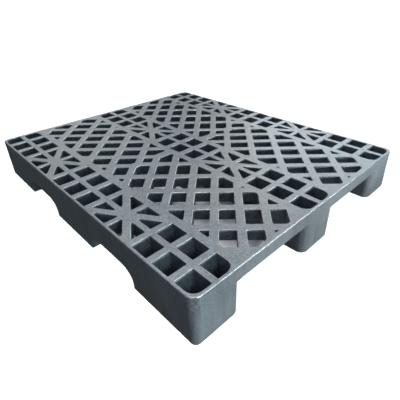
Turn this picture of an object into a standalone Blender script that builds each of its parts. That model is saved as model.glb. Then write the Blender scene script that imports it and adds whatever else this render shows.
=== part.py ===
"""Nine-leg plastic pallet with an open grid deck, in metres, +Z up, standing on Z = 0.

The long sides run along X and the short, fork-entry sides along Y.  The deck is made of three
bands of square cells over the rows of feet, with star-braced blocks between the feet, and of two
diagonal lattice panels that span the fork tunnels between the bands.
Plan positions are measured inwards from a corner: `run` along the long side, `reach` along the
short side.  Everything is mirrored about both centre lines.
"""
import math

import bmesh
import bpy
from mathutils import Vector
from mathutils.geometry import delaunay_2d_cdt

# ---- overall ----
LENGTH = 1.200
WIDTH = 1.000
HEIGHT = 0.150
GAP = 0.0003
CORNER_R = 0.025
CORNER_R_BASE = 0.016
ARC_STEPS = 4

# ---- deck layer ----
DECK_DEPTH = 0.043
LATTICE_DEPTH = 0.034
BORDER = 0.0085
DECK_BASE = HEIGHT - DECK_DEPTH
BAND_EDGE = 0.1501
MID_EDGE = 0.4232
LINTEL = 0.0080

# ---- hollow undersides: plate left over a slot, walls round openings and along edges ----
PLATE = 0.0050
FOOT_PLATE = 0.0040
SKIN = 0.0036
OUTER_SKIN = 0.0056
SEAM_SKIN = 0.0015
SMALLEST_SLOT = 0.00004

# ---- square cells: first edge, cell length, pitch, count ----
END_CELLS = (0.0087, 0.0620, 0.0830, 3)
MID_CELLS = (0.4865, 0.0600, 0.0835, 3)
CELL_W = 0.0550
OUTER_ROWS = (BORDER, 0.0820)
MID_ROWS = (0.43575, 0.50925)
CELL_R = 0.026

# ---- feet and the seams between deck panels, along the run ----
FOOT_END = 0.2468
FOOT_MID = 0.4749
FOOT_FLOOR = 0.005
DRAFT = 0.0022

# ---- star blocks ----
STAR_RUN = (0.2578, 0.4633)
STAR_RIB = 0.018
STAR_DIAG = 0.023
STAR_TIP = 0.0322
STAR_HUB = 0.0582

# ---- diagonal lattice: hole ranges across the two rib directions ----
LAT_REACH = (0.1633, 0.4104)
LAT_RUN = 0.0165
LAT_CROSS = (-0.1425, 0.0657, 0.1014)
LAT_ALONG = (0.3650, 0.0945, 0.1310)
LAT_BAR = 0.0175
LAT_SMALLEST = 0.00005

# ---- arched walls between the feet ----
ARCH_CROWN = 0.059
ARCH_SPRING = 0.024
ARCH_RUN = 0.055
ARCH_STEPS = 6
ARCH_WALL = 0.006

# ---- plastic of each family of parts: colour, roughness ----
PLASTIC = {
    "deck_plastic": ((0.245, 0.268, 0.272, 1.0), 0.52),
    "beam_plastic": ((0.232, 0.256, 0.262, 1.0), 0.50),
    "foot_plastic": ((0.225, 0.250, 0.258, 1.0), 0.48),
}

ENDS = ("left", "middle", "right")
ROWS = ("front", "centre", "rear")


def clear_scene():
    for old in list(bpy.data.objects):
        bpy.data.objects.remove(old, do_unlink=True)


def plastics():
    made = {}
    for name, (colour, roughness) in PLASTIC.items():
        mat = bpy.data.materials.new(name)
        mat.use_nodes = True
        shader = mat.node_tree.nodes["Principled BSDF"]
        shader.inputs["Base Color"].default_value = colour
        shader.inputs["Roughness"].default_value = roughness
        shader.inputs["Metallic"].default_value = 0.0
        mat.diffuse_color = colour
        made[name] = mat
    return made


# ---------------------------------------------------------------- plan outlines
def rect(x0, x1, y0, y1, radii=(0.0, 0.0, 0.0, 0.0)):
    """Counter-clockwise rectangle; radii go (x0,y0), (x1,y0), (x1,y1), (x0,y1)."""
    corners = (
        (x0, y0, 1, 1, math.pi),
        (x1, y0, -1, 1, 1.5 * math.pi),
        (x1, y1, -1, -1, 0.0),
        (x0, y1, 1, -1, 0.5 * math.pi),
    )
    loop = []
    for (cx, cy, sx, sy, start), r in zip(corners, radii):
        if r <= 0.0:
            loop.append((cx, cy))
            continue
        for i in range(ARC_STEPS + 1):
            a = start + 0.5 * math.pi * i / ARC_STEPS
            loop.append((cx + sx * r + r * math.cos(a), cy + sy * r + r * math.sin(a)))
    return loop


def area(loop):
    total = 0.0
    for (ax, ay), (bx, by) in zip(loop, loop[1:] + loop[:1]):
        total += ax * by - bx * ay
    return 0.5 * total


def clip(loop, nx, ny, limit):
    """Keep the part of a convex loop where nx*x + ny*y <= limit."""
    kept = []
    for (ax, ay), (bx, by) in zip(loop, loop[1:] + loop[:1]):
        da = nx * ax + ny * ay - limit
        db = nx * bx + ny * by - limit
        if da <= 0.0:
            kept.append((ax, ay))
        if (da < 0.0 < db) or (db < 0.0 < da):
            t = da / (da - db)
            kept.append((ax + (bx - ax) * t, ay + (by - ay) * t))
    return kept


def mirrored(loop, flip_run, flip_reach):
    """Plan loop in run/reach turned into X/Y for one quarter of the pallet."""
    sx = -1.0 if flip_run else 1.0
    sy = 1.0 if flip_reach else -1.0
    out = [(sx * (LENGTH / 2 - r), sy * (WIDTH / 2 - w)) for r, w in loop]
    if area(out) < 0.0:
        out.reverse()
    return out


def centred(loop):
    return (
        sum(p[0] for p in loop) / len(loop),
        sum(p[1] for p in loop) / len(loop),
    )


# ---------------------------------------------------------------- openings of the deck
def cell_holes():
    """Square cells of one quarter, in run/reach."""
    holes = []
    for reach_index, reach in enumerate((OUTER_ROWS[0], OUTER_ROWS[1], MID_ROWS[0])):
        first, size, pitch, count = END_CELLS
        for i in range(count):
            radii = (0.0, 0.0, 0.0, 0.0)
            if i == 0:
                radii = ((CELL_R, 0, 0, 0), (0, 0, 0, CELL_R), (CELL_R, 0, 0, 0))[reach_index]
            start = first + i * pitch
            holes.append(rect(start, start + size, reach, reach + CELL_W, radii))
        first, size, pitch, _ = MID_CELLS
        holes.append(rect(first, first + size, reach, reach + CELL_W))
    return holes


def centre_cells():
    """Square cells that sit on the cross centre line, in run/reach, one half of the width."""
    first, size, pitch, _ = MID_CELLS
    start = first + pitch
    rows = (OUTER_ROWS[0], OUTER_ROWS[1], MID_ROWS[0])
    return [rect(start, start + size, reach, reach + CELL_W) for reach in rows]


def star_holes():
    """The openings of one star block for both of its quarters, in run/reach."""
    x0, x1 = STAR_RUN
    cx = 0.5 * (x0 + x1)
    holes = []
    for y0, outer in ((OUTER_ROWS[0], True), (OUTER_ROWS[1], False), (MID_ROWS[0], True)):
        y1 = y0 + CELL_W
        hub = y1 + 0.5 * (OUTER_ROWS[1] - OUTER_ROWS[0] - CELL_W)
        rise = (hub - y0) / (cx - x0)
        shift = 0.5 * STAR_DIAG * math.hypot(1.0, rise)
        left, right = x0, cx - 0.5 * STAR_RIB
        block = rect(left, right, y0, y1)
        edge = y0 - rise * x0
        above = clip(block, -rise, 1.0, edge - shift)
        above = clip(above, -1.0, 0.0, -(x0 + STAR_TIP))
        below = clip(block, rise, -1.0, -(edge + shift))
        below = clip(below, 1.0, 0.0, x0 + STAR_HUB)
        for piece in (above, below):
            for flip in (False, True):
                loop = [(2 * cx - x, y) for x, y in piece] if flip else list(piece)
                if not outer:
                    loop = [(x, y0 + y1 - y) for x, y in loop]
                if area(loop) < 0.0:
                    loop.reverse()
                holes.append(loop)
    return holes


def lattice_holes():
    """Openings between the diagonal ribs of one quarter, in run/reach.

    A hole lies between limits of run - reach and of run + reach.  Those that meet the cross
    centre line either are shared with the mirrored half or stop at the short centre bar.
    """
    half = LENGTH / 2
    quarter, shared = [], []
    c_first, c_size, c_pitch = LAT_CROSS
    s_first, s_size, s_pitch = LAT_ALONG
    for i in range(-2, 6):
        for j in range(-1, 5):
            c0 = c_first + i * c_pitch
            s0 = s_first + j * s_pitch
            c1, s1 = c0 + c_size, s0 + s_size
            loop = [
                (0.5 * (s0 + c1), 0.5 * (s0 - c1)),
                (0.5 * (s1 + c1), 0.5 * (s1 - c1)),
                (0.5 * (s1 + c0), 0.5 * (s1 - c0)),
                (0.5 * (s0 + c0), 0.5 * (s0 - c0)),
            ]
            middle = 0.25 * sum(p[0] for p in loop)
            if 0.5 * (s0 + c0) > half:
                continue
            if middle > half - 0.004:
                loop = clip(loop, 1.0, 1.0, 2 * half - c0)
                loop = clip(loop, 1.0, -1.0, 2 * half - s0)
                if len(loop) > 2 and centred(loop)[1] < LAT_REACH[1]:
                    shared.append(loop)
                continue
            loop = clip(loop, 0.0, -1.0, -LAT_REACH[0])
            loop = clip(loop, 0.0, 1.0, LAT_REACH[1])
            loop = clip(loop, -1.0, 0.0, -LAT_RUN)
            loop = clip(loop, 1.0, 0.0, half - LAT_BAR)
            if len(loop) > 2 and abs(area(loop)) > LAT_SMALLEST:
                quarter.append(loop)
    return quarter, shared


def all_holes():
    """Every opening of the deck, in X/Y, with no opening made twice."""
    quarter, shared = lattice_holes()
    whole = []
    for flip_reach in (False, True):
        for flip_run in (False, True):
            for loop in cell_holes() + star_holes() + quarter:
                whole.append(mirrored(loop, flip_run, flip_reach))
        for loop in centre_cells() + shared:
            whole.append(mirrored(loop, False, flip_reach))
    return whole


# ---------------------------------------------------------------- closed bodies
class Body:
    """Collects walls and caps into one closed mesh."""

    def __init__(self):
        self.bm = bmesh.new()
        self.made = {}

    def vert(self, x, y, z):
        key = (round(x, 7), round(y, 7), round(z, 7))
        if key not in self.made:
            self.made[key] = self.bm.verts.new((x, y, z))
        return self.made[key]

    def wall(self, low, z_low, high, z_high):
        count = len(low)
        for i in range(count):
            j = (i + 1) % count
            self.bm.faces.new((
                self.vert(*low[i], z_low),
                self.vert(*low[j], z_low),
                self.vert(*high[j], z_high),
                self.vert(*high[i], z_high),
            ))

    def cap(self, outline, openings, z):
        points, edges = joined([outline] + openings)
        _, _, faces, origin, _, _ = delaunay_2d_cdt(points, edges, [], 0, 1e-7)
        for face in faces:
            corners = [tuple(points[origin[k][0]]) for k in face]
            mid = centred(corners)
            if not inside(mid, outline) or any(inside(mid, hole) for hole in openings):
                continue
            self.bm.faces.new([self.vert(x, y, z) for x, y in corners])

    def underside(self, outline, openings, limit, skins, z, roof):
        """The face at `z` with a blind slot up to `roof` along every rib.

        Slots stay inside the loop `limit` and outside the `skins`, and the ribs' crossings
        stay solid.
        """
        loops = [outline] + openings + [limit] + [skin for skin, _ in skins]
        points, edges = joined(loops)
        owner = [i for i, loop in enumerate(loops) for _ in loop]
        first_skin = len(loops) - len(skins)
        starts = [owner.index(first_skin + i) for i in range(len(skins))]
        corner_pairs = set()
        for start, (skin, cuts) in zip(starts, skins):
            for k in cuts:
                corner_pairs.add(frozenset((start + k, start + (k + 1) % len(skin))))
        out, _, faces, origin, _, _ = delaunay_2d_cdt(points, edges, [], 0, 1e-7)
        given = [p for loop in loops for p in loop]
        plan = [given[own[0]] if own else tuple(out[k]) for k, own in enumerate(origin)]
        triangles, cut = [], []
        for face in faces:
            mid = centred([plan[k] for k in face])
            if not inside(mid, outline) or any(inside(mid, hole) for hole in openings):
                continue
            free = inside(mid, limit) and not any(inside(mid, skin) for skin, _ in skins)
            if free:
                sources = [[o for o in origin[k] if owner[o] > len(openings)] for k in face]
                met = {owner[o] for own in sources for o in own}
                cornered = any(
                    frozenset((p, q)) in corner_pairs
                    for i in range(3)
                    for p in sources[i]
                    for q in sources[(i + 1) % 3]
                )
                free = len(met) < 3 and not cornered
            triangles.append(list(face))
            cut.append(free)
        cut = settled(triangles, cut, plan)
        for tri, is_slot in zip(triangles, cut):
            level = roof if is_slot else z
            self.bm.faces.new([self.vert(*plan[k], level) for k in tri])
        for a, b in slot_edges(triangles, cut):
            self.bm.faces.new((
                self.vert(*plan[a], z),
                self.vert(*plan[b], z),
                self.vert(*plan[b], roof),
                self.vert(*plan[a], roof),
            ))

    def finish(self, name, plastic):
        bmesh.ops.recalc_face_normals(self.bm, faces=self.bm.faces)
        mesh = bpy.data.meshes.new(name)
        self.bm.to_mesh(mesh)
        self.bm.free()
        mesh.materials.append(plastic)
        node = bpy.data.objects.new(name, mesh)
        bpy.context.scene.collection.objects.link(node)
        return node


def inside(point, loop):
    x, y = point
    hit = False
    for (ax, ay), (bx, by) in zip(loop, loop[1:] + loop[:1]):
        if (ay > y) != (by > y) and x < ax + (bx - ax) * (y - ay) / (by - ay):
            hit = not hit
    return hit


def joined(loops):
    """Points and edges of several plan loops together."""
    points, edges = [], []
    for loop in loops:
        first, count = len(points), len(loop)
        points.extend(Vector(p) for p in loop)
        edges.extend((first + i, first + (i + 1) % count) for i in range(count))
    return points, edges


def slot_edges(triangles, cut):
    """Directed edges of slot triangles that border solid ones."""
    side = {}
    for tri, is_slot in zip(triangles, cut):
        for a, b in zip(tri, tri[1:] + tri[:1]):
            side[(a, b)] = is_slot
    return [(a, b) for (a, b), is_slot in side.items() if is_slot and side.get((b, a)) is False]


def settled(triangles, cut, plan):
    """Slot marks with pinched corners and specks made solid."""
    cut = list(cut)
    sizes = [abs(area([plan[k] for k in tri])) for tri in triangles]
    around = {}
    for t, tri in enumerate(triangles):
        for k in tri:
            around.setdefault(k, []).append(t)
    pinched = True
    while pinched:
        ends = {}
        for a, b in slot_edges(triangles, cut):
            ends[a] = ends.get(a, 0) + 1
            ends[b] = ends.get(b, 0) + 1
        pinched = sorted(k for k, count in ends.items() if count > 2)
        for k in pinched:
            slots = [t for t in around[k] if cut[t]]
            if slots:
                cut[min(slots, key=lambda t: (sizes[t], t))] = False
    owner = {}
    for t, tri in enumerate(triangles):
        for a, b in zip(tri, tri[1:] + tri[:1]):
            owner[(a, b)] = t
    seen = set()
    for t in range(len(triangles)):
        if t in seen or not cut[t]:
            continue
        seen.add(t)
        group = [t]
        for k in group:
            tri = triangles[k]
            for a, b in zip(tri, tri[1:] + tri[:1]):
                other = owner.get((b, a))
                if other is not None and other not in seen and cut[other]:
                    seen.add(other)
                    group.append(other)
        if sum(sizes[k] for k in group) < SMALLEST_SLOT:
            for k in group:
                cut[k] = False
    return cut


def skin_round(loop, grow):
    """A convex loop moved outwards with its corners cut across, and which edges cut corners."""
    out, cuts = [], []
    for before, here, after in zip(loop[-1:] + loop[:-1], loop, loop[1:] + loop[:1]):
        cuts.append(len(out))
        for start, end in ((before, here), (here, after)):
            dx, dy = end[0] - start[0], end[1] - start[1]
            size = math.hypot(dx, dy)
            out.append((here[0] + grow * dy / size, here[1] - grow * dx / size))
    return out, cuts


def grille(name, outline, openings, depth, plastic, limit=None):
    """A flat grille open right through at every opening, with its ribs hollow from below."""
    body = Body()
    low, high = HEIGHT - depth, HEIGHT
    body.cap(outline, openings, high)
    if limit:
        skins = [skin_round(hole, SKIN) for hole in openings]
        body.underside(outline, openings, limit, skins, low, high - PLATE)
    else:
        body.cap(outline, openings, low)
    body.wall(outline, low, outline, high)
    for hole in openings:
        body.wall(hole, low, hole, high)
    return body.finish(name, plastic)


def slot_limit(x0, x1, y0, y1, radii=(0.0, 0.0, 0.0, 0.0)):
    """The outline that slots keep inside, further in from outer faces than from seams."""
    skins = [
        OUTER_SKIN if abs(abs(edge) - half) < 1e-9 else SEAM_SKIN
        for edge, half in ((x0, LENGTH / 2), (x1, LENGTH / 2), (y0, WIDTH / 2), (y1, WIDTH / 2))
    ]
    inner = [max(r - OUTER_SKIN, 0.0) for r in radii]
    return rect(x0 + skins[0], x1 - skins[1], y0 + skins[2], y1 - skins[3], inner)


def within(box, loop):
    x, y = centred(loop)
    return box[0] < x < box[1] and box[2] < y < box[3]


# ---------------------------------------------------------------- deck layer
def spans():
    """X limits of the five deck panels of a band, from left to right."""
    marks = [0.0, FOOT_END, FOOT_MID, LENGTH - FOOT_MID, LENGTH - FOOT_END, LENGTH]
    marks = [m - LENGTH / 2 for m in marks]
    return list(zip(marks[:-1], marks[1:]))


def bands():
    """Y limits of the three bands, from front to rear."""
    half = WIDTH / 2
    return [
        (-half, BAND_EDGE - half),
        (MID_EDGE - half, half - MID_EDGE),
        (half - BAND_EDGE, half),
    ]


def inset(lo, hi, edge):
    """Leave the running gap on each side that isn't an outer face."""
    return (
        lo if abs(lo + edge) < 1e-9 else lo + 0.5 * GAP,
        hi if abs(hi - edge) < 1e-9 else hi - 0.5 * GAP,
    )


def deck_panels(holes, plastic):
    kinds = ("end_grid_left", "star_panel_left", "middle_grid", "star_panel_right", "end_grid_right")
    for row, (y0, y1) in zip(ROWS, bands()):
        for kind, (x0, x1) in zip(kinds, spans()):
            px0, px1 = inset(x0, x1, LENGTH / 2)
            py0, py1 = inset(y0, y1, WIDTH / 2)
            left, right = x0 < -0.5, x1 > 0.5
            front, rear = row == "front", row == "rear"
            radii = (
                CORNER_R if left and front else 0.0,
                CORNER_R if right and front else 0.0,
                CORNER_R if right and rear else 0.0,
                CORNER_R if left and rear else 0.0,
            )
            own = [h for h in holes if within((x0, x1, y0, y1), h)]
            outline = rect(px0, px1, py0, py1, radii)
            limit = slot_limit(px0, px1, py0, py1, radii)
            grille(f"{row}_{kind}", outline, own, DECK_DEPTH, plastic, limit)


def lattice_panels(holes, plastic):
    front, centre, rear = bands()
    for name, y0, y1 in (
        ("front_lattice_panel", front[1], centre[0]),
        ("rear_lattice_panel", centre[1], rear[0]),
    ):
        reach = LENGTH / 2 - LINTEL - GAP
        box = (-reach, reach, y0 + 0.5 * GAP, y1 - 0.5 * GAP)
        own = [h for h in holes if within((-LENGTH / 2, LENGTH / 2, y0, y1), h)]
        grille(name, rect(*box), own, LATTICE_DEPTH, plastic, slot_limit(*box))


def lintels(plastic):
    """Bars across the short sides, over the fork entries."""
    front, centre, rear = bands()
    for end, x0, x1 in (
        ("left", -LENGTH / 2, -LENGTH / 2 + LINTEL),
        ("right", LENGTH / 2 - LINTEL, LENGTH / 2),
    ):
        for row, y0, y1 in (("front", front[1], centre[0]), ("rear", centre[1], rear[0])):
            outline = rect(x0, x1, y0 + 0.5 * GAP, y1 - 0.5 * GAP)
            grille(f"{row}_entry_lintel_{end}", outline, [], DECK_DEPTH, plastic)


# ---------------------------------------------------------------- feet
def foot_rect(x0, x1, y0, y1, radii, drop):
    """Foot outline drawn in by the draft `drop` on the sides that aren't outer faces."""
    hx, hy = LENGTH / 2, WIDTH / 2
    return rect(
        x0 if x0 <= -hx + 1e-9 else x0 + drop,
        x1 if x1 >= hx - 1e-9 else x1 - drop,
        y0 if y0 <= -hy + 1e-9 else y0 + drop,
        y1 if y1 >= hy - 1e-9 else y1 - drop,
        radii,
    )


def base_radii(radii, index, row):
    """Corner radii at the floor: the pallet's own corners tighten on the way down."""
    base = list(radii)
    at_corner = {
        ("left", "front"): 0,
        ("right", "front"): 1,
        ("right", "rear"): 2,
        ("left", "rear"): 3,
    }.get((index, row))
    if at_corner is not None:
        base[at_corner] = CORNER_R_BASE
    return base


def feet(holes, plastic):
    """Feet with a well under every deck cell and slots from below between the wells."""
    top = DECK_BASE - GAP
    columns = [spans()[0], spans()[2], spans()[4]]
    for row, (y0, y1) in zip(ROWS, bands()):
        for index, (x0, x1) in zip(ENDS, columns):
            lo_x, hi_x = inset(x0, x1, LENGTH / 2)
            lo_y, hi_y = inset(y0, y1, WIDTH / 2)
            left = CORNER_R if index == "left" else 0.0
            right = CORNER_R if index == "right" else 0.0
            radii = (left, right, right, left)
            base = base_radii(radii, index, row)
            wells = [h for h in holes if within((x0, x1, y0, y1), h)]
            skins = [skin_round(well, SKIN) for well in wells]
            body = Body()
            high = foot_rect(lo_x, hi_x, lo_y, hi_y, radii, 0.0)
            low = foot_rect(lo_x, hi_x, lo_y, hi_y, base, DRAFT)
            edge = OUTER_SKIN + DRAFT
            turns = [max(r - OUTER_SKIN, 0.0) for r in base]
            limit = rect(lo_x + edge, hi_x - edge, lo_y + edge, hi_y - edge, turns)
            body.cap(high, wells, top)
            body.underside(low, [], limit, skins, 0.0, top - FOOT_PLATE)
            body.wall(low, 0.0, high, top)
            for well in wells:
                body.wall(well, FOOT_FLOOR, well, top)
                body.cap(well, [], FOOT_FLOOR)
            body.finish(f"{row}_foot_{index}", plastic)


# ---------------------------------------------------------------- arched walls
def arch_profile(x0, x1, top):
    """Closed X/Z outline of a wall with its elliptical arch below."""
    profile = [(x1, top), (x0, top)]
    for i in range(ARCH_STEPS + 1):
        a = 0.5 * math.pi * i / ARCH_STEPS
        profile.append((
            x0 + ARCH_RUN * (1.0 - math.cos(a)),
            ARCH_SPRING + (ARCH_CROWN - ARCH_SPRING) * math.sin(a),
        ))
    mirror = [(x0 + x1 - x, z) for x, z in reversed(profile[2:])]
    return profile + mirror


def arched_walls(plastic):
    top = DECK_BASE - GAP
    for row, (y0, y1) in zip(ROWS, bands()):
        for side, (x0, x1) in (("left", spans()[1]), ("right", spans()[3])):
            lo, hi = x0 + GAP, x1 - GAP
            outer = (y0, y0 + ARCH_WALL)
            inner = (y1 - ARCH_WALL, y1)
            for face, (w0, w1) in (("front", outer), ("rear", inner)):
                profile = arch_profile(lo, hi, top)
                w0, w1 = inset(w0, w1, WIDTH / 2)
                body = Body()
                ring_a = [body.vert(x, w0, z) for x, z in profile]
                ring_b = [body.vert(x, w1, z) for x, z in profile]
                count = len(profile)
                for i in range(count):
                    j = (i + 1) % count
                    body.bm.faces.new((ring_a[i], ring_a[j], ring_b[j], ring_b[i]))
                for ring in (ring_a, ring_b):
                    body.bm.faces.new(ring)
                bmesh.ops.triangulate(
                    body.bm, faces=[f for f in body.bm.faces if len(f.verts) > 4])
                body.finish(f"{row}_band_{face}_arch_{side}", plastic)


clear_scene()
plastic = plastics()
openings = all_holes()
deck_panels(openings, plastic["deck_plastic"])
lattice_panels(openings, plastic["deck_plastic"])
lintels(plastic["beam_plastic"])
feet(openings, plastic["foot_plastic"])
arched_walls(plastic["beam_plastic"])
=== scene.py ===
"""Grey plastic pallet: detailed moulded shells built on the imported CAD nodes, in metres."""
import math

import bmesh
import bpy
import numpy as np
from mathutils import Matrix, Vector
from mathutils.geometry import delaunay_2d_cdt


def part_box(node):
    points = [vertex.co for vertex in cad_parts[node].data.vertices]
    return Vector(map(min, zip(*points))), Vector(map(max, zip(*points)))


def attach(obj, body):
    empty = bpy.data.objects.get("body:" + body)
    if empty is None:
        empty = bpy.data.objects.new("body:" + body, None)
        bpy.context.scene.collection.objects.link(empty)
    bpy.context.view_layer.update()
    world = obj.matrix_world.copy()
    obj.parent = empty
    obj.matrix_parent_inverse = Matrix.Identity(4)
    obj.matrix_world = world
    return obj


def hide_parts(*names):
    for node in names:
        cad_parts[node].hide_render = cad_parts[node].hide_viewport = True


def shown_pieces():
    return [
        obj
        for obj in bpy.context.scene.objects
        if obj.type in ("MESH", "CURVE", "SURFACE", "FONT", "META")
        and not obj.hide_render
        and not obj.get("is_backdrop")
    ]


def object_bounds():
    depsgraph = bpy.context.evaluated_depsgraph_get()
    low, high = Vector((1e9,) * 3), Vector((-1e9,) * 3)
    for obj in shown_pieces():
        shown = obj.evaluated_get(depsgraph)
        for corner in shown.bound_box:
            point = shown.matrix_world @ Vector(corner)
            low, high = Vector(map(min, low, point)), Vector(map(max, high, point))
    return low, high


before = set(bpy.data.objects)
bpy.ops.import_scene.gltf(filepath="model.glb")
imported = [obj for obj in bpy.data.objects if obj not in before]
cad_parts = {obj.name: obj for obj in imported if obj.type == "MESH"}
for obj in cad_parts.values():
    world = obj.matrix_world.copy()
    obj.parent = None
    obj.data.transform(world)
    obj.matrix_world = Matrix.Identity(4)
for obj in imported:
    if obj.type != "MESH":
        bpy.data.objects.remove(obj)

CAD_LOW, CAD_HIGH = (list(corner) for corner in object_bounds())
TOP = CAD_HIGH[2]
HALF_X, HALF_Y = CAD_HIGH[0], CAD_HIGH[1]

# ---- shape details, in metres ----
RIM_R = 0.0021          # rounded edge round every opening
EDGE_R = 0.0038         # rounded top edge of the outer walls
LOWER_EDGE_R = 0.0012   # rounded lower edge of the bars over the fork entries
ARRIS_R = 0.0012        # broken edges of the arches
CORNER_R = 0.025        # plan radius of the pallet's corners
BASE_CORNER_R = 0.016   # the same at the floor
HOLE_R = 0.0032         # plan radius of the openings' corners
WELL_CORNER_R = 0.011   # the same deep in the wells, where the corners round off
WELL_R = 0.004          # rounded edge of a well's floor
WELL_DRAFT = 0.001      # how far a well's walls lean in
FOOT_FLOOR = 0.005      # thickness of a foot under its wells
FOOT_DRAFT = 0.0022     # how far a foot's inner sides lean in, down to the floor
FOOT_BASE_R = 0.0016    # rounded edge of a foot's base
FOOT_BASE_WEAR_AND_HIGHLIGHT = 0.5    # how worn that edge is and how much painted highlight its colour gets, beside 1 at the deck's rims
LEVEL = 1e-5            # how far a vertex of a level face may stray
DIGITS = 6              # digits after the point that tell two plan points apart
LEVEL_FACE = 0.99       # a face is level when its normal's z is more than this
SEAM_REACH = 0.0005     # how far a node's edge may stand from the seam it belongs to
ON_OUTSIDE = 1e-4       # how near to the pallet's bounds an outer wall lies
LEAST_R = 0.0002        # smallest radius of an opening's corner
SAME_POINT = 1e-8       # points nearer than this are one when a flat face is filled
STRAIGHT = 0.004        # sine of the turn below which a run counts as straight

# ---- how finely the curves are drawn ----
ROUND_STEPS = 4         # steps in a quarter turn of a small edge
CORNER_STEPS = 8        # steps round a large corner
LARGE_R = 0.01          # radius from which a corner is a large one
ARCH_STEPS = 20         # steps from an arch's spring to its crown
SHALLOW = math.radians(35)    # a corner that turns by less is drawn in SHALLOW_STEPS
SHALLOW_STEPS = 2
SHALLOW_SHARE = 0.5     # how much of its shorter side such a corner takes
CORNER_SHARE = 0.32     # the most of its shorter side that any other corner takes

ROWS = ("front", "centre", "rear")
ENDS = ("left", "middle", "right")
GRIDS = {"left": "end_grid_left", "middle": "middle_grid", "right": "end_grid_right"}


# ------------------------------------------------------------------ plan loops
def signed_area(loop):
    x, y = np.array(loop).T
    return 0.5 * float(np.sum(x * np.roll(y, -1) - np.roll(x, -1) * y))


def inside(point, loop):
    x, y = point
    hit = False
    for (ax, ay), (bx, by) in zip(loop, loop[1:] + loop[:1]):
        if (ay > y) != (by > y) and x < ax + (bx - ax) * (y - ay) / (by - ay):
            hit = not hit
    return hit


def level_loops(node, height, facing):
    """The outlines of a CAD node's level faces at one height, as plan loops."""
    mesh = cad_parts[node].data
    half_edges = set()
    for face in mesh.polygons:
        points = [mesh.vertices[i].co for i in face.vertices]
        if face.normal.z * facing < LEVEL_FACE or max(abs(p.z - height) for p in points) > LEVEL:
            continue
        keys = [(round(p.x, DIGITS), round(p.y, DIGITS)) for p in points]
        half_edges.update(zip(keys, keys[1:] + keys[:1]))
    rim = {a: b for a, b in sorted(half_edges) if (b, a) not in half_edges}
    loops = []
    while rim:
        start = min(rim)
        loop, at = [start], rim.pop(start)
        while at != start:
            loop.append(at)
            at = rim.pop(at)
        loop = straightened(loop)
        loops.append(loop[::-1] if signed_area(loop) < 0 else loop)
    return loops


def openings_of(node):
    """The openings in a CAD node's top face."""
    loops = level_loops(node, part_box(node)[1].z, 1.0)
    loops.sort(key=signed_area)
    return sorted(loops[:-1])


def slots_of(node):
    """The roof height of the slots under a CAD node, and their outlines."""
    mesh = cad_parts[node].data
    roof = max(face.center.z for face in mesh.polygons if face.normal.z < -LEVEL_FACE)
    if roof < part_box(node)[0].z + LEVEL:
        return roof, []
    return roof, sorted(level_loops(node, roof, -1.0))


def straightened(loop):
    """The loop without the points that lie on a straight run."""
    kept = []
    for before, p, after in zip(loop[-1:] + loop[:-1], loop, loop[1:] + loop[:1]):
        a = Vector(p) - Vector(before)
        b = Vector(after) - Vector(p)
        if abs(a.cross(b)) > STRAIGHT * a.length * b.length:
            kept.append(p)
    return kept


class Opening:
    """A convex plan loop with rounded corners; ring(grow) is the loop moved outwards by grow."""

    def __init__(self, loop, radius=HOLE_R):
        self.arcs = []
        count = len(loop)
        for k in range(count):
            before, p, after = Vector(loop[k - 1]), Vector(loop[k]), Vector(loop[(k + 1) % count])
            into, out = p - before, after - p
            turn = abs(into.angle_signed(out, 0.0))
            shallow = turn < SHALLOW
            shorter = min(into.length, out.length)
            if shallow:
                reach = SHALLOW_SHARE * shorter
            else:
                reach = min(radius * math.tan(turn / 2), CORNER_SHARE * shorter)
            r = reach / math.tan(turn / 2)
            n1 = Vector((-into.y, into.x)).normalized()
            n2 = Vector((-out.y, out.x)).normalized()
            centre = p + (n1 + n2) * (r / (1.0 + n1.dot(n2)))
            start = math.atan2(-n1.y, -n1.x)
            steps = SHALLOW_STEPS if shallow else ROUND_STEPS
            self.arcs.append((centre, r, start, turn, steps))

    def ring(self, grow):
        """Points, the two normals of each side and whether it is part of a rounding."""
        points, normals = [], []
        end_before = self.end(self.arcs[-1])
        for arc in self.arcs:
            centre, r, start, turn, steps = arc
            meets = (self.at(arc, 0) - end_before).length < LEVEL
            for i in range(1 if meets else 0, steps + 1):
                a = start + turn * i / steps
                n = (math.cos(a), math.sin(a))
                moved = max(r + grow, LEAST_R)
                points.append((centre.x + moved * n[0], centre.y + moved * n[1]))
                normals.append(n)
            end_before = self.end(arc)
        pairs = [(normals[i], normals[(i + 1) % len(normals)]) for i in range(len(normals))]
        return points, pairs, [True] * len(points)

    def at(self, arc, i):
        centre, r, start, turn, steps = arc
        a = start + turn * i / steps
        return centre + Vector((math.cos(a), math.sin(a))) * r

    def end(self, arc):
        return self.at(arc, arc[-1])


def plain_ring(loop):
    """A plan loop with square corners in the form that Shell.ring takes."""
    pairs = []
    for (ax, ay), (bx, by) in zip(loop, loop[1:] + loop[:1]):
        size = math.hypot(bx - ax, by - ay)
        normal = ((by - ay) / size, (ax - bx) / size)
        pairs.append((normal, normal))
    return loop, pairs, [True] * len(loop)


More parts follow.
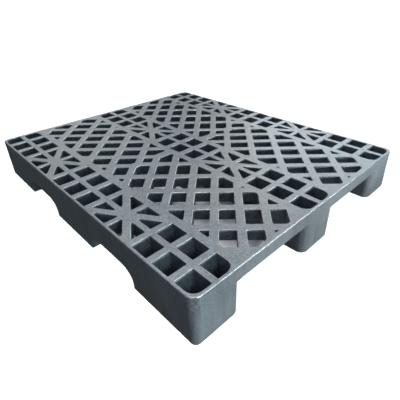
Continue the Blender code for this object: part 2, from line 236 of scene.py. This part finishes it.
class Block:
    """A rectangular plan outline: box (x0, x1, y0, y1), corner radii from (x0, y0) round, and
    which sides are outer walls, in the order left, right, front, rear."""

    def __init__(self, box, radii, outer):
        self.box, self.radii, self.outer = box, radii, outer

    def ring(self, grow, radii=None):
        """The outline with its outer sides moved outwards by grow, or each side by its own."""
        g = [grow if side else 0.0 for side in self.outer] if np.isscalar(grow) else grow
        x0, x1, y0, y1 = self.box
        x0, x1, y0, y1 = x0 - g[0], x1 + g[1], y0 - g[2], y1 + g[3]
        corners = (
            (x0, y0, 1, 1, math.pi, 0, 2),
            (x1, y0, -1, 1, 1.5 * math.pi, 1, 2),
            (x1, y1, -1, -1, 0.0, 1, 3),
            (x0, y1, 1, -1, 0.5 * math.pi, 0, 3),
        )
        sides = (2, 1, 3, 0)
        side_normals = ((0.0, -1.0), (1.0, 0.0), (0.0, 1.0), (-1.0, 0.0))
        points, pairs, rounded = [], [], []
        for k, (cx, cy, sx, sy, start, side_a, side_b) in enumerate(corners):
            base = (radii or self.radii)[k]
            steps = CORNER_STEPS if base > LARGE_R else ROUND_STEPS
            r = max(base + 0.5 * (g[side_a] + g[side_b]), 0.0) if base > 0 else 0.0
            if base > 0:
                for i in range(steps + 1):
                    a = start + 0.5 * math.pi * i / steps
                    n = (math.cos(a), math.sin(a))
                    points.append((cx + sx * r + r * n[0], cy + sy * r + r * n[1]))
                    if i < steps:
                        b = start + 0.5 * math.pi * (i + 1) / steps
                        pairs.append((n, (math.cos(b), math.sin(b))))
                        rounded.append(True)
            else:
                points.append((cx, cy))
            pairs.append((side_normals[k], side_normals[k]))
            rounded.append(self.outer[sides[k]])
        return points, pairs, rounded


# ------------------------------------------------------------------ closed shells
class Shell:
    """Rings of vertices, the faces between them and an exact normal at every face corner."""

    def __init__(self):
        self.co, self.faces, self.normals, self.wear_and_highlight = [], [], [], []

    def ring(self, plan, z, wear_and_highlight=0.0):
        points, pairs, rounded = plan
        first = len(self.co)
        self.co.extend((x, y, z) for x, y in points)
        self.wear_and_highlight.extend([wear_and_highlight] * len(points))
        return {"ids": list(range(first, first + len(points))), "points": points,
                "pairs": pairs, "rounded": rounded}

    def strip(self, a, b, tilt_a, tilt_b, sign=1.0):
        """Faces between two rings; a tilt is the angle of the surface normal above the plan."""
        count = len(a["ids"])
        for i in range(count):
            j = (i + 1) % count
            quad = (a["ids"][i], a["ids"][j], b["ids"][j], b["ids"][i])
            n0, n1 = a["pairs"][i]
            ta, tb = (tilt_a, tilt_b) if a["rounded"][i] else (0.0, 0.0)
            corner = [(n0, ta), (n1, ta), (n1, tb), (n0, tb)]
            self.add(quad, [
                (sign * math.cos(t) * n[0], sign * math.cos(t) * n[1], math.sin(t))
                for n, t in corner
            ])

    def add(self, face, normals):
        if len(set(face)) < 3:
            return
        p = [Vector(self.co[i]) for i in face]
        flat = Vector((0.0, 0.0, 0.0))
        for k in range(len(p)):
            flat += (p[k] - p[0]).cross(p[(k + 1) % len(p)] - p[0])
        if flat.dot(Vector(np.mean(normals, axis=0))) < 0.0:
            face, normals = face[::-1], normals[::-1]
        self.faces.append(tuple(face))
        self.normals.extend(normals)

    def cap(self, loops, up):
        """A flat face filling whatever lies inside an odd number of the ring loops."""
        ids = [i for loop in loops for i in loop["ids"]]
        points, edges = joined([loop["points"] for loop in loops])
        _, _, faces, origin, _, _ = delaunay_2d_cdt(points, edges, [], 0, SAME_POINT)
        shapes = [boxed(loop["points"]) for loop in loops]
        normal = (0.0, 0.0, 1.0 if up else -1.0)
        for face in faces:
            tri = [origin[k][0] for k in face]
            mid = tuple(sum(points[k][c] for k in tri) / 3.0 for c in (0, 1))
            if sum(within(mid, shape) for shape in shapes) % 2:
                self.add([ids[k] for k in tri], [normal] * 3)

    def underside(self, outline, openings, node, z):
        """The lower face at z, with the CAD node's slots cut into it."""
        roof, outlines = slots_of(node)
        mouths = [self.ring(plain_ring(loop), z) for loop in outlines]
        roofs = [self.ring(plain_ring(loop), roof) for loop in outlines]
        for mouth, top in zip(mouths, roofs):
            self.strip(mouth, top, 0.0, 0.0, -1.0)
        self.cap([outline] + openings + mouths, False)
        if roofs:
            self.cap(roofs, False)

    def finish(self, name, slot):
        """The shell as a piece that stands in for the CAD node of the same name."""
        mesh = bpy.data.meshes.new(name)
        mesh.from_pydata(self.co, [], self.faces)
        mesh.polygons.foreach_set("use_smooth", [True] * len(mesh.polygons))
        # the rim mask: the plastic polishes the rims with it and also paints a lighter colour
        # there, a painted highlight
        wear_and_highlight = mesh.attributes.new("wear_and_highlight", "FLOAT", "POINT")
        wear_and_highlight.data.foreach_set("value", self.wear_and_highlight)
        mesh.validate()
        mesh.normals_split_custom_set([Vector(n).normalized() for n in self.normals])
        piece = bpy.data.objects.new(name, mesh)
        bpy.context.scene.collection.objects.link(piece)
        mesh.materials.append(PLASTICS[slot])
        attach(piece, "root")
        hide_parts(name)


def joined(loops):
    """The points of all loops in one list, and the edges between them."""
    points, edges = [], []
    for loop in loops:
        first, count = len(points), len(loop)
        points.extend(Vector(p) for p in loop)
        edges.extend((first + i, first + (i + 1) % count) for i in range(count))
    return points, edges


def boxed(loop):
    """A loop with its bounds in front, for a quick test of what lies inside it."""
    xs, ys = zip(*loop)
    return min(xs), max(xs), min(ys), max(ys), [tuple(p) for p in loop]


def within(point, shape):
    x0, x1, y0, y1, loop = shape
    return x0 < point[0] < x1 and y0 < point[1] < y1 and inside(point, loop)


def quarter_turn():
    """The angles of the rings along a rounded edge."""
    return [0.5 * math.pi * i / ROUND_STEPS for i in range(ROUND_STEPS + 1)]


def steps_of(items):
    """Each item of a list with the one after it."""
    return list(zip(items[:-1], items[1:]))


def rolled_edge(shell, plan, z, radius, sign):
    """Rings of a rounded edge from the flat face at z down to the wall; sign +1 for an outer
    wall and -1 for the wall of an opening.  Returns the first and the last ring."""
    rings = []
    for u in quarter_turn():
        drop = radius * (1.0 - math.cos(u))
        grow = -sign * radius * (1.0 - math.sin(u))
        # the rim mask, strongest half-way round the rounded edge: wear, and a painted highlight
        # in the colour
        wear_and_highlight = math.sin(2.0 * u)
        rings.append(shell.ring(plan.ring(grow), z - drop, wear_and_highlight))
    for (a, b), (ua, ub) in zip(steps_of(rings), steps_of(quarter_turn())):
        shell.strip(a, b, 0.5 * math.pi - ua, 0.5 * math.pi - ub, sign)
    return rings[0], rings[-1]


def deck_shell(name, box, radii, outer, openings, low, slot, lower_edge=False, deep_r=HOLE_R):
    """A block of the deck down to `low`; its openings' corners have the radius deep_r there."""
    block = Block(box, radii, outer)
    shell = Shell()
    edge_top, wall_top = rolled_edge(shell, block, TOP, EDGE_R, 1.0)
    tops, lows = [], []
    for loop in openings:
        hole = Opening(loop)
        first, last = rolled_edge(shell, hole, TOP, RIM_R, -1.0)
        bottom = shell.ring(Opening(loop, deep_r).ring(0.0), low)
        shell.strip(last, bottom, 0.0, 0.0, -1.0)
        tops.append(first)
        lows.append(bottom)
    shell.cap([edge_top] + tops, True)
    if lower_edge:
        rings = []
        for u in quarter_turn():
            grow = -LOWER_EDGE_R * (1.0 - math.cos(u))
            rings.append(shell.ring(block.ring(grow), low + LOWER_EDGE_R * (1.0 - math.sin(u))))
        shell.strip(wall_top, rings[0], 0.0, 0.0)
        for (a, b), (ua, ub) in zip(steps_of(rings), steps_of(quarter_turn())):
            shell.strip(a, b, -ua, -ub)
        base = rings[-1]
    else:
        base = shell.ring(block.ring(0.0), low)
        shell.strip(wall_top, base, 0.0, 0.0)
    shell.underside(base, lows, name, low)
    shell.finish(name, slot)


def plan_box(node):
    low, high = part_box(node)
    return [low.x, high.x, low.y, high.y]


def mid_of(a, b):
    return 0.5 * (a + b)


def closed_up(value, marks):
    """A node's edge moved onto the seam that it stands a hair's breadth away from."""
    nearest = min(marks, key=lambda m: abs(m - value))
    return nearest if abs(nearest - value) < SEAM_REACH else value


# ------------------------------------------------------------------ plastics
DARK = (0.046, 0.053, 0.056)
LIGHT = (0.155, 0.171, 0.176)
PLASTIC_IOR = 1.5
# noise patterns: scale in cells per metre, detail, roughness and stretch along x, y and z
PATTERNS = {
    "grain": (620.0, 2.0, 0.55, (1.0, 1.0, 1.0)),
    "fleck": (300.0, 1.0, 0.55, (1.0, 1.0, 1.0)),
    "mottle": (150.0, 4.0, 0.65, (1.0, 1.0, 1.0)),
    "cloud": (9.0, 3.0, 0.55, (1.0, 1.0, 1.0)),
    "flow": (48.0, 3.0, 0.55, (1.0, 1.0, 0.12)),
    "scuffs": (60.0, 5.0, 0.7, (0.25, 2.6, 1.0)),
}
# how strongly the patterns change the tone between DARK and LIGHT; the speckle's share is
# multiplied by each plastic's own strength
SPECKLE = {"grain": 2.4, "fleck": 2.0, "mottle": 1.6}
PATCHES = {"cloud": 0.8, "flow": 0.9}
SCUFF_LEVEL, SCUFF_GAIN = 0.62, 2.4         # where the scuffs begin, and how fast they fill
# how much lighter the rounded rims are coloured: partly wear, partly a painted highlight standing
# in for the bright lines of light along the rims
WORN_AND_HIGHLIGHT_TONE = 1.2
BASE_ROUGHNESS, MOTTLE_ROUGHNESS, CLOUD_ROUGHNESS, SCUFF_ROUGHNESS = 0.20, 0.22, 0.14, 0.20
WORN_ROUGHNESS = 0.13
BASE_SPECULAR, WORN_SPECULAR = 0.5, 1.3
GRAIN_RELIEF, CLOUD_RELIEF = 0.45, 2.5      # beside a mottle relief of 1
WORN_BUMP, UNTOUCHED_BUMP = 0.06, 0.29
BUMP_HEIGHT = 0.0009


def plastic(name, speckle):
    """Moulded plastic; `speckle` is the strength of its fine patterns."""
    mat = bpy.data.materials.new(name)
    mat.use_nodes = True
    tree = mat.node_tree
    link = tree.links.new
    shader = tree.nodes["Principled BSDF"]
    shader.inputs["IOR"].default_value = PLASTIC_IOR
    place = tree.nodes.new("ShaderNodeTexCoord").outputs["Object"]

    def noise(scale, detail, roughness, stretch):
        made = tree.nodes.new("ShaderNodeTexNoise")
        made.inputs["Scale"].default_value = scale
        made.inputs["Detail"].default_value = detail
        made.inputs["Roughness"].default_value = roughness
        mapping = tree.nodes.new("ShaderNodeMapping")
        mapping.inputs["Scale"].default_value = stretch
        link(place, mapping.inputs["Vector"])
        link(mapping.outputs["Vector"], made.inputs["Vector"])
        return made.outputs["Fac"]

    def maths(kind, a, b, clamp=False):
        made = tree.nodes.new("ShaderNodeMath")
        made.operation = kind
        made.use_clamp = clamp
        for socket, value in zip(made.inputs, (a, b)):
            if isinstance(value, (int, float)):
                socket.default_value = value
            else:
                link(value, socket)
        return made.outputs[0]

    def times(a, b):
        return maths("MULTIPLY", a, b)

    def plus(a, b):
        return maths("ADD", a, b)

    pattern = {key: noise(*values) for key, values in PATTERNS.items()}
    mottle, cloud = pattern["mottle"], pattern["cloud"]
    scuff = maths("SUBTRACT", pattern["scuffs"], SCUFF_LEVEL, True)
    scuff = maths("MULTIPLY", scuff, SCUFF_GAIN, True)
    # the rim mask: it drives the polish and the extra specular, and also a painted highlight in
    # the colour
    edge = tree.nodes.new("ShaderNodeAttribute")
    edge.attribute_name = "wear_and_highlight"
    rubbed_and_highlit = edge.outputs["Fac"]
    untouched = maths("SUBTRACT", 1.0, rubbed_and_highlit)

    shares = {**{key: share * speckle for key, share in SPECKLE.items()}, **PATCHES}
    tone = 0.5 - 0.5 * sum(shares.values())
    for key, share in shares.items():
        tone = plus(tone, times(pattern[key], share))
    # rims coloured lighter: wear together with a painted highlight along every rim
    worn_and_highlit = times(rubbed_and_highlit, times(mottle, WORN_AND_HIGHLIGHT_TONE))
    tone = maths("ADD", tone, plus(worn_and_highlit, scuff), True)
    ramp = tree.nodes.new("ShaderNodeValToRGB")
    ramp.color_ramp.elements[0].color = (*DARK, 1.0)
    ramp.color_ramp.elements[1].color = (*LIGHT, 1.0)
    link(tone, ramp.inputs["Fac"])
    link(ramp.outputs["Color"], shader.inputs["Base Color"])

    dull = plus(times(mottle, MOTTLE_ROUGHNESS), times(cloud, CLOUD_ROUGHNESS))
    dull = plus(plus(dull, BASE_ROUGHNESS), times(scuff, SCUFF_ROUGHNESS))
    polished = times(rubbed_and_highlit, WORN_ROUGHNESS)
    link(maths("ADD", times(dull, untouched), polished, True), shader.inputs["Roughness"])
    link(plus(BASE_SPECULAR, times(rubbed_and_highlit, WORN_SPECULAR)), shader.inputs["Specular IOR Level"])

    relief = plus(times(pattern["grain"], GRAIN_RELIEF), mottle)
    relief = plus(relief, times(cloud, CLOUD_RELIEF))
    bump = tree.nodes.new("ShaderNodeBump")
    bump.inputs["Distance"].default_value = BUMP_HEIGHT
    link(plus(WORN_BUMP, times(untouched, UNTOUCHED_BUMP)), bump.inputs["Strength"])
    link(relief, bump.inputs["Height"])
    link(bump.outputs["Normal"], shader.inputs["Normal"])
    return mat


PLASTICS = {
    "deck_plastic": plastic("deck_plastic_moulded", 1.3),
    "beam_plastic": plastic("beam_plastic_moulded", 0.6),
    "foot_plastic": plastic("foot_plastic_moulded", 0.6),
}

# ------------------------------------------------------------------ deck layer
panel_boxes = {n: plan_box(n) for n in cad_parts}
front, centre, rear = (panel_boxes[f"{row}_middle_grid"] for row in ROWS)
lattice_front = panel_boxes["front_lattice_panel"]
lattice_rear = panel_boxes["rear_lattice_panel"]
Y_MARKS = [
    -HALF_Y,
    mid_of(front[3], lattice_front[2]),
    mid_of(lattice_front[3], centre[2]),
    mid_of(centre[3], lattice_rear[2]),
    mid_of(lattice_rear[3], rear[2]),
    HALF_Y,
]
ends = panel_boxes["front_end_grid_left"], panel_boxes["front_end_grid_right"]
stars = panel_boxes["front_star_panel_left"], panel_boxes["front_star_panel_right"]
lintel_left, lintel_right = (panel_boxes[f"front_entry_lintel_{s}"] for s in ("left", "right"))
X_MARKS = [
    -HALF_X,
    lintel_left[1],
    mid_of(ends[0][1], stars[0][0]),
    mid_of(stars[0][1], front[0]),
    mid_of(front[1], stars[1][0]),
    mid_of(stars[1][1], ends[1][0]),
    lintel_right[0],
    HALF_X,
]
SEAM_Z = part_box("front_middle_grid")[0].z


def seamless(name):
    """The node's plan box with its edges on the seams."""
    x0, x1, y0, y1 = panel_boxes[name]
    return [closed_up(x0, X_MARKS), closed_up(x1, X_MARKS),
            closed_up(y0, Y_MARKS), closed_up(y1, Y_MARKS)]


def outer_sides(box):
    """Which sides of a plan box are outer walls, in the order left, right, front, rear."""
    return [box[0] < -HALF_X + ON_OUTSIDE, box[1] > HALF_X - ON_OUTSIDE,
            box[2] < -HALF_Y + ON_OUTSIDE, box[3] > HALF_Y - ON_OUTSIDE]


def corner_radii(outer, radius):
    """The corner radii of a block, from (x0, y0) round: only the pallet's corners are rounded."""
    left, right, near, far = outer
    return [radius if a and b else 0.0
            for a, b in ((left, near), (right, near), (right, far), (left, far))]


holes_of = {}
for row in ROWS:
    for kind in ("end_grid_left", "star_panel_left", "middle_grid", "star_panel_right",
                 "end_grid_right"):
        name = f"{row}_{kind}"
        box = seamless(name)
        outer = outer_sides(box)
        holes_of[name] = openings_of(name)
        deck_shell(name, box, corner_radii(outer, CORNER_R), outer, holes_of[name],
                   SEAM_Z, "deck_plastic", deep_r=WELL_CORNER_R if "grid" in kind else HOLE_R)
for row in ("front", "rear"):
    name = f"{row}_lattice_panel"
    box = seamless(name)
    box[0], box[1] = X_MARKS[1], X_MARKS[-2]
    deck_shell(name, box, [0.0] * 4, [False] * 4, openings_of(name),
               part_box(name)[0].z, "deck_plastic")
    for side in ("left", "right"):
        name = f"{row}_entry_lintel_{side}"
        box = seamless(name)
        deck_shell(name, box, [0.0] * 4, outer_sides(box), [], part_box(name)[0].z,
                   "beam_plastic", lower_edge=True)


# ------------------------------------------------------------------ feet
def foot_shell(name, box, radii, base_radii, openings):
    """A drafted foot with a rounded base and a well under each of the deck's openings."""
    outer = outer_sides(box)
    block = Block(box, radii, [True] * 4)
    shell = Shell()
    lean = math.atan(FOOT_DRAFT / SEAM_Z)
    drafts = [0.0 if side else -FOOT_DRAFT for side in outer]
    top = shell.ring(block.ring([0.0] * 4), SEAM_Z)
    base_share = FOOT_BASE_R / SEAM_Z
    last = top
    for share in (0.5, base_share):     # of the foot's height
        g = [d * (1.0 - share) for d in drafts]
        mixed = [b + (a - b) * share for a, b in zip(radii, base_radii)]
        ring = shell.ring(block.ring(g, mixed), SEAM_Z * share)
        shell.strip(last, ring, -0.5 * lean, -0.5 * lean)
        last = ring
    for u_from, u in steps_of(quarter_turn()):
        g = [d * (1.0 - base_share) - FOOT_BASE_R * (1.0 - math.cos(u)) for d in drafts]
        ring = shell.ring(block.ring(g, base_radii), FOOT_BASE_R * (1.0 - math.sin(u)),
                          FOOT_BASE_WEAR_AND_HIGHLIGHT)
        shell.strip(last, ring, -u_from, -u)
        last = ring
    tops = []
    for loop in openings:
        hole = Opening(loop, WELL_CORNER_R)
        rim = shell.ring(hole.ring(0.0), SEAM_Z)
        well = shell.ring(hole.ring(-WELL_DRAFT), FOOT_FLOOR + WELL_R)
        shell.strip(rim, well, 0.0, 0.0, -1.0)
        at = well
        for u_from, u in steps_of(quarter_turn()):
            g = -WELL_DRAFT - WELL_R * (1.0 - math.cos(u))
            ring = shell.ring(hole.ring(g), FOOT_FLOOR + WELL_R * (1.0 - math.sin(u)))
            shell.strip(at, ring, u_from, u, -1.0)
            at = ring
        shell.cap([at], True)
        tops.append(rim)
    shell.cap([top] + tops, True)
    shell.underside(last, [], name, 0.0)
    shell.finish(name, "foot_plastic")


for row in ROWS:
    for end in ENDS:
        name = f"{row}_foot_{end}"
        box = seamless(name)
        left = CORNER_R if end == "left" else 0.0
        right = CORNER_R if end == "right" else 0.0
        radii = [left, right, right, left]
        sharper = corner_radii(outer_sides(box), BASE_CORNER_R)
        base_radii = [at_base or above for at_base, above in zip(sharper, radii)]
        foot_shell(name, box, radii, base_radii, holes_of[f"{row}_{GRIDS[end]}"])


# ------------------------------------------------------------------ arched walls
def arch_curve(name):
    """The points of a CAD arch wall's lower edge, as (x, z)."""
    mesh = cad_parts[name].data
    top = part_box(name)[1].z
    return [(round(v.co.x, DIGITS), round(v.co.z, DIGITS))
            for v in mesh.vertices if v.co.z < top - LEVEL]


def smooth_arch(points, x0, x1):
    """The arch as an even curve between the two feet: quarter ellipses up to a flat crown."""
    spring = min(z for _, z in points)
    crown = max(z for _, z in points)
    run = min(x for x, z in points if z > crown - LEVEL) - min(x for x, _ in points)
    samples = []
    for i in range(ARCH_STEPS + 1):
        a = 0.5 * math.pi * i / ARCH_STEPS
        normal = Vector((math.cos(a) * (crown - spring), -math.sin(a) * run)).normalized()
        samples.append((x0 + run * (1.0 - math.cos(a)), spring + (crown - spring) * math.sin(a),
                        normal))
    mirror = [(x0 + x1 - x, z, Vector((-n.x, n.y))) for x, z, n in reversed(samples)]
    return samples + mirror


def arch_shell(name, x0, x1, y0, y1):
    """The wall above an arch, swept from one foot to the other."""
    shell = Shell()
    rows = []
    for x, z, n in smooth_arch(arch_curve(name), x0, x1):
        section, lie = [(x, y0, SEAM_Z)], [(0.0, -1.0, 0.0)]
        for face, way in ((y0, 1.0), (y1, -1.0)):
            part, part_lie = [], []
            for u in quarter_turn():
                back = ARRIS_R * (1.0 - math.sin(u))
                px = min(max(x - n.x * back, x0), x1)
                part.append((px, face + way * ARRIS_R * (1.0 - math.cos(u)), z - n.y * back))
                part_lie.append((n.x * math.sin(u), -way * math.cos(u), n.y * math.sin(u)))
            if way < 0:
                part.reverse()
                part_lie.reverse()
            section += part
            lie += part_lie
        section.append((x, y1, SEAM_Z))
        lie.append((0.0, 1.0, 0.0))
        first = len(shell.co)
        shell.co.extend(section)
        shell.wear_and_highlight.extend([0.0] * len(section))
        rows.append((list(range(first, first + len(section))), lie))
    for (a, la), (b, lb) in steps_of(rows):
        for i in range(len(a)):
            j = (i + 1) % len(a)
            if j == 0:
                normals = [(0.0, 0.0, 1.0)] * 4
            else:
                normals = [la[i], la[j], lb[j], lb[i]]
            shell.add((a[i], a[j], b[j], b[i]), normals)
    for ids, way in ((rows[0][0], -1.0), (rows[-1][0], 1.0)):
        shell.add(tuple(ids), [(way, 0.0, 0.0)] * len(ids))
    shell.finish(name, "beam_plastic")


for row in ROWS:
    for face in ("front", "rear"):
        for side in ("left", "right"):
            name = f"{row}_band_{face}_arch_{side}"
            arch_shell(name, *seamless(name))


# ------------------------------------------------------------------ floor and backdrop
FLOOR_HALF = 32.0
FLOOR_Z = -0.0005
FLOOR_COLOUR = (0.80, 0.775, 0.74, 1.0)
FLOOR_GLOW_COLOUR = (1.0, 0.99, 0.97, 1.0)
FLOOR_GLOW = 0.03
FLOOR_ROUGHNESS = 0.9
FLOOR_SPECULAR = 0.1
DOME_R = 50.0
DOME_SEGMENTS, DOME_RINGS = 48, 24


def staged(name, mesh, mat):
    """A stage object that shows but sends no light back to the pallet."""
    thing = bpy.data.objects.new(name, mesh)
    bpy.context.scene.collection.objects.link(thing)
    mesh.materials.append(mat)
    thing.visible_diffuse = False
    thing.visible_glossy = False
    thing.visible_transmission = False
    thing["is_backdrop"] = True
    return thing


def floor():
    mesh = bpy.data.meshes.new("studio_floor")
    s = FLOOR_HALF
    mesh.from_pydata([(-s, -s, 0), (s, -s, 0), (s, s, 0), (-s, s, 0)], [], [(0, 1, 2, 3)])
    mat = bpy.data.materials.new("studio_floor")
    mat.use_nodes = True
    shader = mat.node_tree.nodes["Principled BSDF"]
    shader.inputs["Base Color"].default_value = FLOOR_COLOUR
    shader.inputs["Roughness"].default_value = FLOOR_ROUGHNESS
    shader.inputs["Specular IOR Level"].default_value = FLOOR_SPECULAR
    shader.inputs["Emission Color"].default_value = FLOOR_GLOW_COLOUR
    shader.inputs["Emission Strength"].default_value = FLOOR_GLOW
    plane = staged("studio_floor", mesh, mat)
    plane.location.z = FLOOR_Z
    return plane


def backdrop():
    """A plain white dome far behind everything."""
    maker = bmesh.new()
    bmesh.ops.create_uvsphere(maker, u_segments=DOME_SEGMENTS, v_segments=DOME_RINGS,
                              radius=DOME_R)
    mesh = bpy.data.meshes.new("studio_backdrop")
    maker.to_mesh(mesh)
    maker.free()
    mat = bpy.data.materials.new("studio_backdrop")
    mat.use_nodes = True
    tree = mat.node_tree
    tree.nodes.clear()
    glow = tree.nodes.new("ShaderNodeEmission")
    glow.inputs["Color"].default_value = (1.0, 1.0, 1.0, 1.0)
    glow.inputs["Strength"].default_value = 1.0
    sink = tree.nodes.new("ShaderNodeOutputMaterial")
    tree.links.new(glow.outputs["Emission"], sink.inputs["Surface"])
    dome = staged("studio_backdrop", mesh, mat)
    dome.visible_shadow = False


# ------------------------------------------------------------------ light
# name, direction towards the lamp, strength, width in degrees, colour
SUNS = (
    ("overhead", (0.02, 0.10, 1.0), 0.9, 36.0, (0.91, 0.96, 1.0)),
    ("ceiling_lamp", (-0.15, 0.10, 1.0), 1.0, 9.0, (1.0, 0.98, 0.90)),
    ("back", (0.15, 0.70, 0.70), 0.6, 24.0, (0.90, 0.95, 1.0)),
    ("back_low", (-0.28, 0.87, 0.40), 0.17, 14.0, (0.92, 0.97, 1.0)),
    ("back_left", (-0.50, 0.70, 0.50), 0.45, 24.0, (1.0, 0.94, 0.85)),
    ("left_low", (-0.90, 0.35, 0.35), 0.19, 24.0, (1.0, 1.0, 0.94)),
)
FLOOR_SUN = ("floor_light", (0.80, -0.60, 0.87), 7.0, 16.0, (1.0, 1.0, 1.0))
# name, place, a point in front of it, power in watts, size, colour
SOFTBOXES = (
    ("ceiling_panel", (-1.1, 0.0, 2.6), (-0.1, 0.0, 0.1), 32.0, (1.6, 1.6), (1.0, 0.98, 0.93)),
    ("window_strip", (2.6, 1.1, 0.40), (0.6, 1.1, 0.30), 150.0, (4.2, 0.12), (0.85, 0.95, 1.0)),
    ("front_strip", (0.0, -3.0, 0.25), (0.0, -0.5, 0.10), 11.5, (4.0, 0.2), (0.95, 0.97, 1.0)),
    ("back_strip", (-0.6, 3.2, 1.5), (0.0, 0.0, 0.2), 29.0, (3.0, 0.3), (0.70, 0.90, 1.0)),
    ("left_strip", (-3.2, 0.8, 1.3), (0.0, 0.0, 0.2), 2.5, (3.0, 0.3), (0.98, 1.0, 0.86)),
)
CORNER_LAMP = ("corner_lamp", (1.05, -0.44, 0.52), (0.50, -0.42, 0.13), 0.15, (0.15, 0.15),
               (0.74, 0.89, 1.0))
CORNER_LAMP_SPREAD = math.radians(50.0)
# what the white floor beside the short side would send up to it
FLOOR_BOUNCE = ("floor_bounce", (0.95, 0.45, 0.004), (0.95, 0.45, 1.0), 1.2, (0.6, 1.5),
                (0.95, 1.0, 1.0))
# the sky's colour by height above the horizon: pale and low, then dark, then deep blue
SKY = (
    (0.001, (0.050, 0.054, 0.058)),
    (0.30, (0.019, 0.024, 0.030)),
    (0.38, (0.19, 0.27, 0.42)),
)


def placed(data, direction, receivers):
    """A lamp that shines against `direction`, on the objects of one collection only."""
    lamp = bpy.data.objects.new(data.name, data)
    lamp.rotation_mode = "QUATERNION"
    lamp.rotation_quaternion = Vector(direction).to_track_quat("Z", "Y")
    bpy.context.scene.collection.objects.link(lamp)
    lamp.light_linking.receiver_collection = receivers
    return lamp


def sun(name, towards, strength, width, colour, receivers):
    data = bpy.data.lights.new(name, "SUN")
    data.energy = strength
    data.angle = math.radians(width)
    data.color = colour
    return placed(data, towards, receivers)


def softbox(name, place, aim, power, size, colour, receivers):
    data = bpy.data.lights.new(name, "AREA")
    data.energy = power
    data.shape = "RECTANGLE"
    data.size, data.size_y = size
    data.color = colour
    lamp = placed(data, Vector(place) - Vector(aim), receivers)
    lamp.location = place
    return lamp


def studio_sky():
    world = bpy.data.worlds.new("studio")
    bpy.context.scene.world = world
    world.use_nodes = True
    tree = world.node_tree
    coords = tree.nodes.new("ShaderNodeTexCoord")
    split = tree.nodes.new("ShaderNodeSeparateXYZ")
    ramp = tree.nodes.new("ShaderNodeValToRGB")
    stops = ramp.color_ramp.elements
    for position, colour in SKY:
        stops.new(position).color = (*colour, 1.0)
    stops.remove(stops[0])
    stops.remove(stops[-1])
    tree.links.new(coords.outputs["Generated"], split.inputs["Vector"])
    tree.links.new(split.outputs["Z"], ramp.inputs["Fac"])
    tree.links.new(ramp.outputs["Color"], tree.nodes["Background"].inputs["Color"])


pallet_only = bpy.data.collections.new("pallet_only")
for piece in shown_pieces():
    pallet_only.objects.link(piece)
floor_only = bpy.data.collections.new("floor_only")
floor_only.objects.link(floor())
backdrop()
for lamp in SUNS:
    sun(*lamp, pallet_only)
for lamp in SOFTBOXES:
    softbox(*lamp, pallet_only)
softbox(*CORNER_LAMP, pallet_only).data.spread = CORNER_LAMP_SPREAD
softbox(*FLOOR_BOUNCE, pallet_only).visible_camera = False
sun(*FLOOR_SUN, floor_only)
studio_sky()

# ------------------------------------------------------------------ camera
CAMERA_PLACE = (0.96874, -0.79133, 0.69862)
CAMERA_RIGHT = (0.69882, 0.71504, -0.01914)
CAMERA_FORWARD = (-0.62046, 0.59263, -0.51364)
LENS, SENSOR = 30.656, 36.0
SHIFT = (-0.0298, -0.0325)
CLIP_END = 200.0

camera_data = bpy.data.cameras.new("camera")
camera_data.type = "PERSP"
camera_data.sensor_width = SENSOR
camera_data.lens = LENS
camera_data.shift_x, camera_data.shift_y = SHIFT
camera_data.clip_end = CLIP_END
camera = bpy.data.objects.new("camera", camera_data)
bpy.context.scene.collection.objects.link(camera)
bpy.context.scene.camera = camera
forward = Vector(CAMERA_FORWARD)
up = Vector(CAMERA_RIGHT).cross(forward).normalized()
right = forward.cross(up).normalized()
turn = Matrix((right, up, -forward)).transposed()
camera.matrix_world = Matrix.Translation(CAMERA_PLACE) @ turn.to_4x4()
bpy.context.scene.view_settings.view_transform = "Standard"
